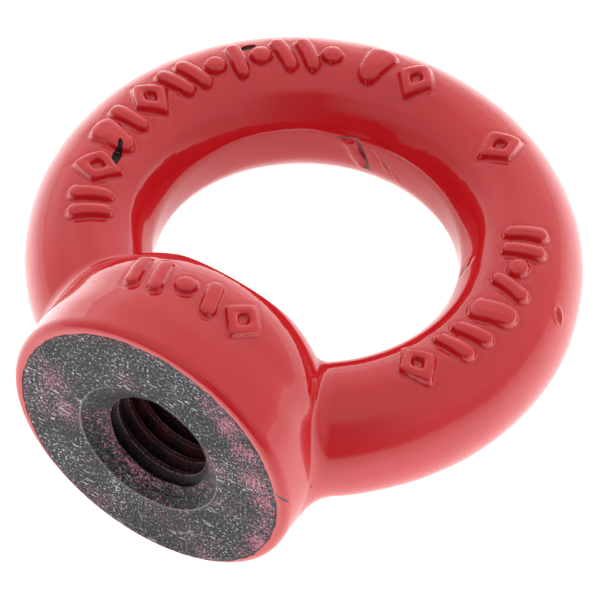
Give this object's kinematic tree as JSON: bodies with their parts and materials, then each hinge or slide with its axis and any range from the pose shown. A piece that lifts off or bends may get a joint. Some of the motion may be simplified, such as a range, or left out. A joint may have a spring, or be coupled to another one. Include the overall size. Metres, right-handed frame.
{
  "type": "lifting eye nut",
  "caption": "Forged lifting eye nut: round ring on a squat round foot with a machined seat and a tapped through hole; screws onto a stud so a hook or shackle can lift the load.",
  "frame": {"origin": "centre of the machined seat face, on the thread axis", "axes": "-Y out of the thread's mouth, +Y along the thread axis towards the eye, X across the ring, Z normal to the plane of the ring; +Z is the side with the raised marks"},
  "size_m": [0.054, 0.0545, 0.0302],
  "materials": {
    "forged_steel": "dark machined steel on the seat and thread, forged scale under the paint",
    "red_paint": "gloss"
  },
  "bodies": {
    "root": {"forged_eye_nut": "forged_steel", "paint_coat": "red_paint"}
  },
  "joints": []
}
